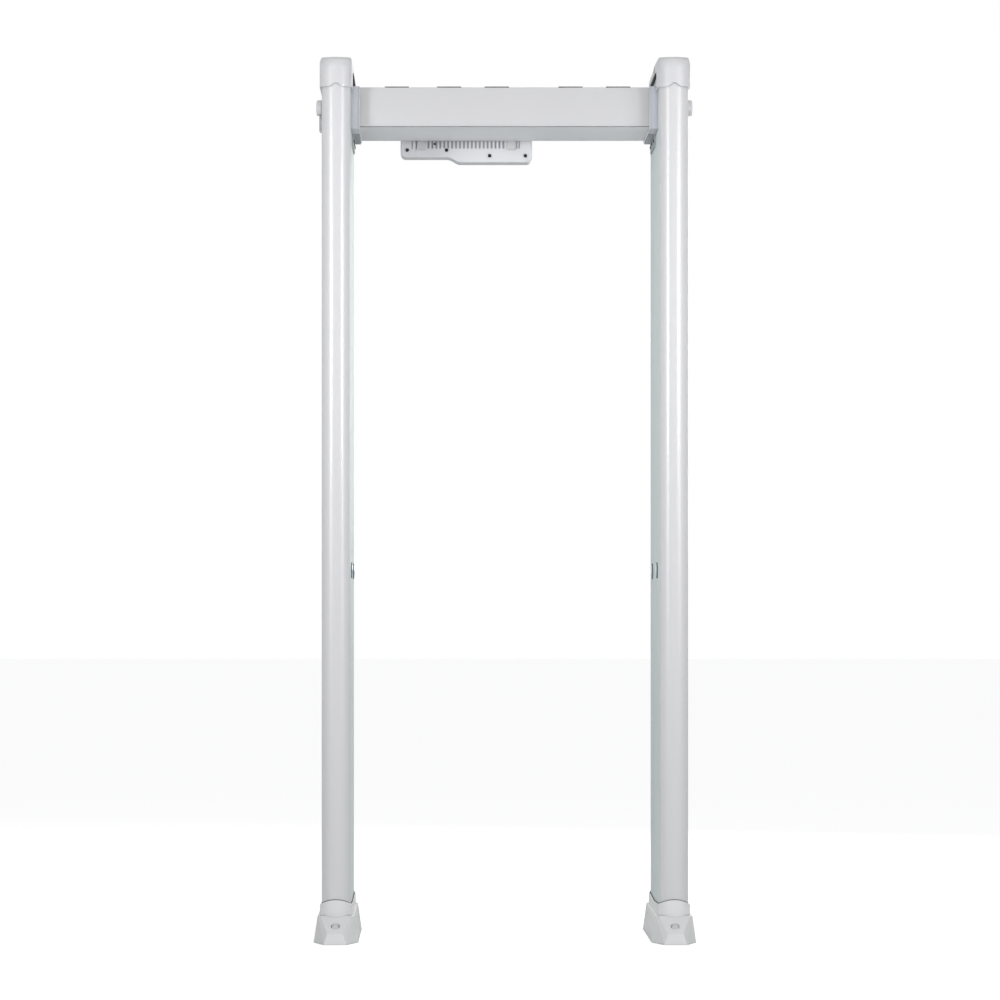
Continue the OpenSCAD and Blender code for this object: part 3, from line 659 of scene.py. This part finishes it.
def build_feet():
    """Each casting with its collar, the dark ring of painted shade inside it and the covers over the floor
    bolts.
    """
    anchor_y = high("right_foot").y - 30 * MM
    below, above = -10 * MM, 70 * MM
    bore = [(0, below), (floor_bolt_r, below), (floor_bolt_r, seat_z), (seat_r, seat_z),
            (seat_r, above), (0, above)]
    for side, sx in SIDES:
        drills = []
        for sy in (-1, 1):
            drills.append(lathe("drill", bore, at(sx, 0, sy * anchor_y, 0), (0, 0, 1), 48))
        mesh = joined("foot", [cut(foot_base(sx), drills), collar(sx)])
        piece(f"{side}_foot_casting", mesh, cast_white, "gate", [f"{side}_foot"], 38)
        # Painted shade: a dark ring standing for the shadow in the gap between column and collar.
        piece(f"{side}_foot_gap_shade", gap_shade_ring(sx), painted_shade_grey, "gate", (), 38)
        for end, sy in ENDS:
            mesh = bolt_cover(at(sx, 0, sy * anchor_y, seat_z), sy)
            piece(f"{side}_foot_{end}_bolt_cover", mesh, moulded_white, "gate", (), 38)


# ---- Sensors ----

def build_sensors():
    """Two domed lenses in rounded rings on each column's passage side."""
    lens_r = 16.9 * MM
    dome_base, dome_rise = 1.3, 3.1
    rim = mm((13, -4), (13, 0.1), (19.2, 0.1), (20, 0.6), (20, 1.8), (19.4, 2.4), (18.3, 2.7),
             (17.3, 2.4), (17, 1.6), (17, 0.6))
    dome = [(lens_r, 0.8 * MM), (lens_r, dome_base * MM)]
    for degrees in range(10, 90, 10):
        a = math.radians(degrees)
        dome.append((lens_r * math.cos(a), (dome_base + dome_rise * math.sin(a)) * MM))
    dome.append((0, (dome_base + dome_rise) * MM))
    y_out = high("sensor_lenses").y - lens_r
    z = (low("sensor_lenses").z + high("sensor_lenses").z) / 2
    rings, lenses = [], []
    for sx in (-1, 1):
        for y in (-y_out, y_out):
            spot, way = Vector((sx * inner_x, y, z)), (-sx, 0, 0)
            rings.append(lathe("ring", rim, spot, way))
            lenses.append(lathe("dome", dome, spot, way))
    mesh = joined("sensor_rings", rings)
    piece("sensor_bezels", mesh, ring_grey, "gate", ["sensor_rings"], 40)
    mesh = joined("sensor_lenses", lenses)
    piece("sensor_domes", mesh, lens_green, "gate", ["sensor_lenses"], 50)


# ---- Knobs ----

def knob(node, sx):
    """A turned hand knob with shallow grips round its rim."""
    lo, hi = low(node), high(node)
    r = (hi.z - lo.z) / 2
    spot = Vector((sx * outer_x, (lo.y + hi.y) / 2, (lo.z + hi.z) / 2))
    skirt = [(0, 0.3 * MM), (r - 3 * MM, 0.3 * MM), (r - 2.6 * MM, 0.8 * MM), (r - 2.6 * MM, 2 * MM),
             (r - 1.2 * MM, 2.6 * MM), (r - 0.2 * MM, 3.3 * MM), (r, 4.2 * MM)]
    rim = [(r, 11.6 * MM), (r - 0.3 * MM, 12.8 * MM), (r - 1.1 * MM, 13.8 * MM), (r - 2.4 * MM, 14.5 * MM),
           (r - 5 * MM, 15.2 * MM)]
    dimple = [(r * 0.5, 15.9 * MM), (r * 0.36, 16.1 * MM), (r * 0.33, 15.7 * MM), (r * 0.30, 15.6 * MM),
              (0, 15.9 * MM)]
    mesh = lathe(node, skirt + rim + dimple, spot, (sx, 0, 0), 96)
    grips, grip_depth, grip_band = 32, 0.22 * MM, 0.5 * MM
    for v in mesh.vertices:
        rel = v.co - spot
        if math.hypot(rel.y, rel.z) > r - grip_band:
            angle = math.atan2(rel.z, rel.y)
            squeeze = 1 - grip_depth / r * (1 + math.cos(grips * angle))
            v.co.y = spot.y + rel.y * squeeze
            v.co.z = spot.z + rel.z * squeeze
    return mesh


def build_knobs():
    """The hand knobs on the outer sides, each riding its own body."""
    for side, sx in SIDES:
        for end, _ in ENDS:
            node = f"knob_{side}_{end}"
            piece(f"{node}_grip", knob(node, sx), moulded_white, node, [node], 35)


# ---- Crossbeam ----

CLIP_PLACES = (-0.70, -0.36, -0.05, 0.43, 0.74)


def prism_x(name, section, x0, x1):
    """A (y, z) outline drawn out along X."""
    return loft(name, [[Vector((x, y, z)) for y, z in section] for x in (x0, x1)])


def cover_section(face, z0, z1):
    """The (y, z) outline of a folded side cover, with a bead along its foot and a rounded top."""
    inside = face - 2.5 * MM
    bead = [(-0.1, 0), (-0.1, 1.5), (0.7, 1.5), (1, 1.8), (1, 2.5), (0.7, 3.0), (0.1, 3.5), (0, 4.2)]
    fold = [(0, -1.4), (-0.4, -0.5), (-1.3, -0.05)]
    section = [(inside, z0)] + [(face + y, z0 + z) for y, z in mm(*bead)]
    return section + [(face + y, z1 + z) for y, z in mm(*fold)] + [(inside, z1)]


def build_beam():
    """The beam's two side covers with a dark strip under each that paints the shade line beneath the cover's
    bead, and the clips along its lid.
    """
    for end, sy in ENDS:
        node = f"beam_cover_{end}"
        lo, hi = low(node), high(node)
        face = hi.y - 1 * MM if sy > 0 else -lo.y - 1 * MM
        section = [(sy * y, z) for y, z in cover_section(face, lo.z, hi.z)]
        mesh = prism_x(node, section, lo.x, hi.x)
        piece(f"{node}_sheet", mesh, sheet_white, "gate", [node], 50)
        # Painted shade: a dark strip along the foot of each cover's bead.
        strip = mm((-0.2, 0.1), (0.4, 0.2), (0.5, 1.2), (0.3, 1.6), (-0.2, 1.6))
        section = [(sy * (face + y), lo.z + z) for y, z in strip]
        mesh = prism_x("seam", section, lo.x + 0.5 * MM, hi.x - 0.5 * MM)
        piece(f"beam_shade_line_{end}", mesh, painted_shade_grey, "gate", (), 35)
    clips = []
    clip_half = 30 * MM
    lo, hi = low("lid_clips"), high("lid_clips")
    for part in CLIP_PLACES:
        x = part * inner_x
        clip_lo = (x - clip_half, lo.y + 0.3 * MM, lo.z - 0.5 * MM)
        clips.append(rounded_block("clip", clip_lo, (x + clip_half, hi.y, hi.z), SHEET_EDGE, 2))
    # The clips take a dark metal finish as painted shade: they stand for light grey tabs seen in shade.
    piece("lid_clip_tabs", joined("clips", clips), dark_screw, "gate", ["lid_clips"], 40)


def build_saddles():
    """The frames that carry the crossbeam: a sleeve coloured darker as painted shade, with a lip round its
    open end coloured lighter as a painted highlight.
    """
    lip, proud = 3 * MM, 1.2 * MM
    gap = 0.3 * MM
    hole_lo = (-1, low("beam_cover_back").y - gap, low("beam_tray").z - gap)
    hole_hi = (1, high("beam_cover_front").y + gap, high("beam_lid").z + gap)
    for side, sx in SIDES:
        node = f"{side}_saddle"
        lo, hi = low(node), high(node)
        open_x = hi.x if sx < 0 else lo.x
        step_x = open_x + sx * lip
        wall_x = lo.x if sx < 0 else hi.x
        # One part in two colours: the sleeve's darker grey is painted shade and the lip's lighter white a
        # painted highlight.
        for part, x0, x1, inset, mat in (("sleeve", step_x, wall_x, proud, saddle_painted_shade_grey),
                                         ("lip", open_x, step_x, 0, lip_painted_highlight_white)):
            box_lo = (min(x0, x1), lo.y + inset, lo.z + inset)
            box_hi = (max(x0, x1), hi.y - inset, hi.z)
            hole = from_bmesh(block(hole_lo, hole_hi), "hole")
            mesh = cut(rounded_block(part, box_lo, box_hi, SHEET_EDGE), [hole])
            stands_for = [node] if part == "sleeve" else ()
            piece(f"{node}_{part}", mesh, mat, "gate", stands_for, 35)


# ---- Control unit ----

unit_lo, unit_hi = low("unit_rear"), high("unit_rear")
unit_back = high("unit_bracket").y
unit_split = low("unit_face").y
unit_front = high("display_window").y
unit_low = unit_lo.z
unit_step = 13 * MM
unit_high_edge = unit_low + unit_step
unit_corner_r = 13 * MM
slot_low = unit_low + 35 * MM
slot_high = unit_hi.z - 28 * MM
UNIT_SCREWS = ((-243, 31.5), (-143, 31.5), (-33, 17), (58, 17))
STEP_LEFT, STEP_RIGHT = -141.5 * MM, -107.6 * MM
KEYS = [f"key_{i}" for i in range(1, 5)]


def unit_loop(shrink=0.0):
    """The unit's outline in X and Z: rounded corners and a stepped lower edge."""
    r = unit_corner_r
    q = r - shrink
    left, right, top = unit_lo.x, unit_hi.x, unit_hi.z
    loop = bow(right - r, unit_low + r, q, -90, 0, 8) + bow(right - r, top - r, q, 0, 90, 8)
    loop += bow(left + r, top - r, q, 90, 180, 8) + bow(left + r, unit_high_edge + r, q, 180, 270, 8)
    for i in range(13):
        t = i / 12
        z = (unit_low + unit_high_edge) / 2 + unit_step / 2 * math.cos(math.pi * t) + shrink
        loop.append((STEP_LEFT + (STEP_RIGHT - STEP_LEFT) * t, z))
    return loop


def unit_rings(steps):
    """The unit's outline as a loop at each (y, shrink) step."""
    return [[Vector((x, y, z)) for x, z in unit_loop(shrink)] for y, shrink in steps]


def rounded_run(y0, y1, radius):
    """(y, shrink) steps for a case whose edge at y0 is rounded."""
    way = 1 if y1 > y0 else -1
    steps = [(y0 + way * radius * (1 - math.sin(math.radians(a))), radius * (1 - math.cos(math.radians(a))))
             for a in range(90, -1, -15)]
    return steps + [(y1, 0)]


def capsule(x0, x1, y0, y1, z0, z1):
    """A slot cutter with round ends, running along Z."""
    r = (x1 - x0) / 2
    mid = (x0 + x1) / 2
    loop = bow(mid, z0 + r, r, 180, 360, 8) + bow(mid, z1 - r, r, 0, 180, 8)
    return loft("slot", [[Vector((x, y, z)) for x, z in loop] for y in (y0, y1)])


def cross_head(name, spot, way, r, deep=1.2 * MM, rise=1.6 * MM):
    """A domed screw head with a cross recess."""
    dome = [(0, 0), (r, 0), (r, 0.35 * rise), (0.93 * r, 0.62 * rise), (0.75 * r, 0.85 * rise),
            (0.45 * r, 0.97 * rise), (0, rise)]
    head = lathe(name, dome, spot, way, 40)
    turn = Vector((0, 0, 1)).rotation_difference(Vector(way)).to_matrix().to_4x4()
    place = Matrix.Translation(Vector(spot)) @ turn
    tools = []
    for w, d in ((0.62 * r, 0.16 * r), (0.16 * r, 0.62 * r)):
        bm = block((-w, -d, rise - deep), (w, d, rise + 2 * MM))
        bm.transform(place)
        tools.append(from_bmesh(bm, "blade"))
    return cut(head, tools)


def build_unit_back():
    """The rear case: vent slots, screw recesses with raised rims, and the dark screws in them."""
    rear = loft("unit_rear", unit_rings(rounded_run(unit_back, unit_split - 0.4 * MM, 3 * MM)))
    slot_start, slot_end = unit_back - 2 * MM, unit_back + 6 * MM
    wide, narrow = 5, 2.5
    places = [(-191.5 + i * 10.05, wide) for i in range(20)] + [(x, narrow) for x in (-232, -221.5, 35, 41)]
    cutters = []
    for x, width in places:
        cutters.append(capsule(x * MM, (x + width) * MM, slot_start, slot_end, slot_low, slot_high))
    recess = mm((0, -3), (4.8, -3), (4.8, 3), (0, 3))
    boss = mm((4.8, -2), (7, -2), (7, 0.6), (6.6, 1), (5.2, 1), (4.8, 0.6), (4.8, -2))
    bosses, heads = [], []
    for x, z in UNIT_SCREWS:
        spot = Vector((x * MM, unit_back, unit_low + z * MM))
        cutters.append(lathe("recess", recess, spot, (0, -1, 0), 40))
        bosses.append(lathe("boss", boss, spot, (0, -1, 0), 48))
        heads.append(cross_head("head", spot + Vector((0, 1.5 * MM, 0)), (0, -1, 0), 4.5 * MM))
    rear = cut(rear, [joined("slots", cutters)])
    mesh = joined("unit_rear", [rear] + bosses)
    piece("unit_rear_case", mesh, unit_white, "gate", ["unit_rear"], 35)
    mesh = joined("unit_screws", heads)
    piece("unit_screw_heads", mesh, screw_black, "gate", ["unit_screws"], 35)


def build_unit_vents():
    """Grey plates behind the slots that paint the shade inside them, and a black disc that paints the shade
    of the one round hole beside them.
    """
    shade = []
    for x0, x1 in ((-234, -217), (-193, 6), (33, 46)):
        lo = (x0 * MM, unit_back + 3.2 * MM, slot_low - 1 * MM)
        hi = (x1 * MM, unit_back + 5 * MM, slot_high + 1 * MM)
        shade.append(rounded_block("shade", lo, hi, 0.3 * MM, 1))
    # Painted shade: grey plates seen through the slots in place of their dark insides.
    piece("unit_vent_shade", joined("shade", shade), vent_painted_shade_grey, "gate", (), 35)
    spot = Vector((-173 * MM, unit_back, unit_low + 47 * MM))
    mesh = lathe("hole", mm((0, 0.2), (3, 0.2), (3, -1), (0, -1)), spot, (0, -1, 0), 32)
    # Painted shade: a black disc standing for the hole's dark inside.
    piece("unit_vent_hole_shade", mesh, painted_shade_black, "gate", (), 35)


def front_centre(node):
    """The middle of a node's front face."""
    lo, hi = low(node), high(node)
    return Vector(((lo.x + hi.x) / 2, hi.y, (lo.z + hi.z) / 2))


def bevel_depth_edges(bm, radius):
    """Rounds the four corners of a box that run along Y."""
    edges = [e for e in bm.edges if abs(e.verts[0].co.y - e.verts[1].co.y) > 1 * MM]
    bmesh.ops.bevel(bm, geom=edges, offset=radius, segments=5, affect="EDGES")


def build_unit_front():
    """The face case with a pocket for the display and a well for each key, and the display's window."""
    face = loft("unit_face", unit_rings(rounded_run(unit_front, unit_split + 0.2 * MM, 7 * MM)))
    window_lo, window_hi = low("display_window"), high("display_window")
    gap = 0.3 * MM
    pocket = block((window_lo.x - gap, unit_front - 1.6 * MM, window_lo.z - gap),
                   (window_hi.x + gap, unit_front + 5 * MM, window_hi.z + gap))
    bevel_depth_edges(pocket, 4 * MM)
    tools = [from_bmesh(pocket, "pocket")]
    well = mm((0, 5), (9.6, 5), (9.6, 0), (8.9, -0.8), (8.3, -1.2), (8.3, -6), (0, -6))
    for node in KEYS:
        spot = front_centre(node)
        spot.y = unit_front
        tools.append(lathe("well", well, spot, (0, 1, 0), 48))
    piece("unit_face_case", cut(face, tools), unit_white, "gate", ["unit_face"], 35)
    pane = block(window_lo, window_hi)
    bevel_depth_edges(pane, 3.8 * MM)
    mesh = from_bmesh(pane, "window")
    window = piece("display_pane", mesh, display_black, "gate", ["display_window"], 35)
    softened(window, 0.4 * MM)


def build_keys():
    """The round keys, each riding its own body."""
    cap = mm((0, -0.5), (3, -0.42), (5.6, -0.12), (6.8, 0), (7.5, -0.25), (7.9, -0.9), (8, -1.6),
             (8, -6), (0, -6))
    for node in KEYS:
        mesh = lathe(node, cap, front_centre(node), (0, 1, 0), 48)
        piece(f"{node}_cap", mesh, key_grey, node, [node], 35)


def build_lock():
    """The lock's bezel, and its barrel with a key slit, riding its own body."""
    spot = front_centre("lock_body")
    ring = mm((6.1, -6), (6.1, -0.5), (6.6, 0), (10.6, 0), (11.6, -0.4), (12, -1.2), (12, -2),
              (9.4, -2), (9.4, -6), (6.1, -6))
    mesh = lathe("lock", ring, spot, (0, 1, 0), 64)
    piece("lock_bezel", mesh, zinc, "gate", ["lock_body"], 35)
    spot.y = high("lock_barrel").y
    plug = mm((0, 0), (5.2, 0), (5.8, -0.4), (6, -1), (6, -8), (0, -8))
    mesh = lathe("barrel", plug, spot, (0, 1, 0), 48)
    slit = block(spot + Vector((-0.7, -6, -3.5)) * MM, spot + Vector((0.7, 2, 3.5)) * MM)
    mesh = cut(mesh, [from_bmesh(slit, "slit")])
    piece("lock_plug", mesh, zinc, "lock_barrel", ["lock_barrel"], 35)


# ---- Small fixings ----

def build_cleat_screws():
    """Three dark screws through each support cleat."""
    heads = []
    head_r = 4.5 * MM
    face_x = inner_x - 4.05 * MM
    lo, hi = low("cleat_screws"), high("cleat_screws")
    z = (lo.z + hi.z) / 2
    y0, y1 = lo.y + head_r, hi.y - head_r
    for sx in (-1, 1):
        for y in (y0, (y0 + y1) / 2, y1):
            spot = Vector((sx * face_x, y, z))
            heads.append(cross_head("head", spot, (-sx, 0, 0), head_r, 1.4 * MM, 2.4 * MM))
    mesh = joined("cleat_screws", heads)
    piece("cleat_screw_heads", mesh, dark_screw, "gate", ["cleat_screws"], 35)


FINISHES = (
    (timber, ("left_core", "right_core")),
    (copper, ("left_coil", "right_coil")),
    (bracket_steel, ("left_cleat", "right_cleat")),
    (zinc, ("foot_screws", "stud_left_back", "stud_left_front", "stud_right_back", "stud_right_front",
            "beam_end_plates", "inlet_hinge_pin")),
    (brass, ("beam_bushes", "inlet_contacts")),
    (tray_grey, ("beam_tray",)),
    (sheet_white, ("beam_lid", "unit_bracket")),
    (board_green, ("unit_board",)),
    (display_grey, ("display_panel",)),
    (case_metal, ("power_supply",)),
    (inlet_grey, ("inlet_socket", "inlet_flap")),
)
SOFTENED = ("left_cleat", "right_cleat", "inlet_socket", "inlet_flap", "beam_lid", "beam_tray",
            "unit_bracket", "power_supply")


def dress_nodes():
    """Gives each CAD node that still shows its finish, and softens the sheet and moulded ones."""
    for mat, nodes in FINISHES:
        for node in nodes:
            for place in NODES[node].material_slots:
                place.material = mat
    for node in SOFTENED:
        softened(NODES[node], 0.5 * MM)


build_edges()
build_skins()
build_caps()
build_lens()
build_feet()
build_sensors()
build_knobs()
build_beam()
build_saddles()
build_unit_back()
build_unit_vents()
build_unit_front()
build_keys()
build_lock()
build_cleat_screws()
dress_nodes()


# ---- Camera, light and floor ----

GLOW_SIDE, GLOW_FRONT = 0.32, 0.84
FLOOR_LIFT = 0.62


def add_camera():
    """A long lens in front of the gate, level, with the picture shifted to frame it."""
    data = bpy.data.cameras.new("camera")
    data.lens = 148
    data.sensor_width = 36
    data.shift_x = 0.059
    data.shift_y = 0.1115
    data.clip_end = 200
    camera = bpy.data.objects.new("camera", data)
    camera.location = (-0.157, -10.315, 0.813)
    camera.rotation_euler = (math.radians(90), 0, 0)
    bpy.context.scene.collection.objects.link(camera)
    bpy.context.scene.camera = camera


def add_light(name, place, target, width, height, power, spread=180):
    """A rectangular area light aimed at a point; spread is in degrees."""
    data = bpy.data.lights.new(name, "AREA")
    data.spread = math.radians(spread)
    data.shape = "RECTANGLE"
    data.size = width
    data.size_y = height
    data.energy = power
    lamp = bpy.data.objects.new(name, data)
    lamp.location = place
    lamp.rotation_euler = (Vector(target) - Vector(place)).to_track_quat("-Z", "Y").to_euler()
    bpy.context.scene.collection.objects.link(lamp)


def add_world():
    """A surround that looks white, and lights the object most from the front and the back."""
    world = bpy.data.worlds.new("studio")
    bpy.context.scene.world = world
    world.use_nodes = True
    tree = world.node_tree
    tree.nodes.clear()
    link = tree.links.new
    out = tree.nodes.new("ShaderNodeOutputWorld")
    seen = tree.nodes.new("ShaderNodeBackground")
    seen.inputs["Color"].default_value = (1, 1, 1, 1)
    seen.inputs["Strength"].default_value = 1.0
    glow = tree.nodes.new("ShaderNodeBackground")
    coords = tree.nodes.new("ShaderNodeTexCoord")
    split = tree.nodes.new("ShaderNodeSeparateXYZ")
    link(coords.outputs["Generated"], split.inputs["Vector"])
    square = tree.nodes.new("ShaderNodeMath")
    square.operation = "MULTIPLY"
    link(split.outputs["Y"], square.inputs[0])
    link(split.outputs["Y"], square.inputs[1])
    fourth = tree.nodes.new("ShaderNodeMath")
    fourth.operation = "MULTIPLY"
    link(square.outputs["Value"], fourth.inputs[0])
    link(square.outputs["Value"], fourth.inputs[1])
    ramp = tree.nodes.new("ShaderNodeMapRange")
    ramp.inputs["To Min"].default_value = GLOW_SIDE
    ramp.inputs["To Max"].default_value = GLOW_FRONT
    link(fourth.outputs["Value"], ramp.inputs["Value"])
    link(ramp.outputs["Result"], glow.inputs["Strength"])
    glow.inputs["Color"].default_value = (0.985, 0.99, 1, 1)
    rays = tree.nodes.new("ShaderNodeLightPath")
    mix = tree.nodes.new("ShaderNodeMixShader")
    link(rays.outputs["Is Camera Ray"], mix.inputs["Fac"])
    link(glow.outputs["Background"], mix.inputs[1])
    link(seen.outputs["Background"], mix.inputs[2])
    link(mix.outputs["Shader"], out.inputs["Surface"])


def add_floor():
    """A wide pale floor lifted for the camera so that it looks nearly white."""
    bm = bmesh.new()
    bmesh.ops.create_grid(bm, x_segments=1, y_segments=1, size=60)
    mesh = from_bmesh(bm, "floor")
    floor = bpy.data.objects.new("floor", mesh)
    floor.location = (0, 0, -0.0003)
    bpy.context.scene.collection.objects.link(floor)
    mat = bpy.data.materials.new("floor")
    mat.use_nodes = True
    shader = mat.node_tree.nodes["Principled BSDF"]
    shader.inputs["Base Color"].default_value = (0.86, 0.86, 0.86, 1)
    shader.inputs["Roughness"].default_value = 0.9
    shader.inputs["Specular IOR Level"].default_value = 0.1
    shader.inputs["Emission Color"].default_value = (1, 1, 1, 1)
    rays = mat.node_tree.nodes.new("ShaderNodeLightPath")
    lift = mat.node_tree.nodes.new("ShaderNodeMath")
    lift.operation = "MULTIPLY"
    lift.inputs[1].default_value = FLOOR_LIFT
    mat.node_tree.links.new(rays.outputs["Is Camera Ray"], lift.inputs[0])
    mat.node_tree.links.new(lift.outputs["Value"], shader.inputs["Emission Strength"])
    mesh.materials.append(mat)


add_camera()
add_world()
add_floor()
add_light("left_softbox", (-3.3, -3.9, 2.1), (-0.2, 0, 1.3), 0.9, 2.6, 28)
add_light("right_softbox", (3.7, -3.5, 2.1), (0.2, 0, 1.3), 0.9, 2.6, 30)
add_light("left_spot", (-2.2, -3.0, 1.8), (0.1, 0, 1.65), 0.5, 0.8, 4.6, 70)
add_light("right_spot", (2.2, -3.0, 1.8), (-0.1, 0, 1.65), 0.5, 0.8, 4.6, 70)
add_light("top_softbox", (0, 0, 4.6), (0, 0, 1.0), 3.0, 3.0, 12)
add_light("back_fill", (1.6, 4.2, 2.2), (0, 0, 1.2), 2.4, 2.4, 34)

scene = bpy.context.scene
scene.view_settings.view_transform = "Standard"
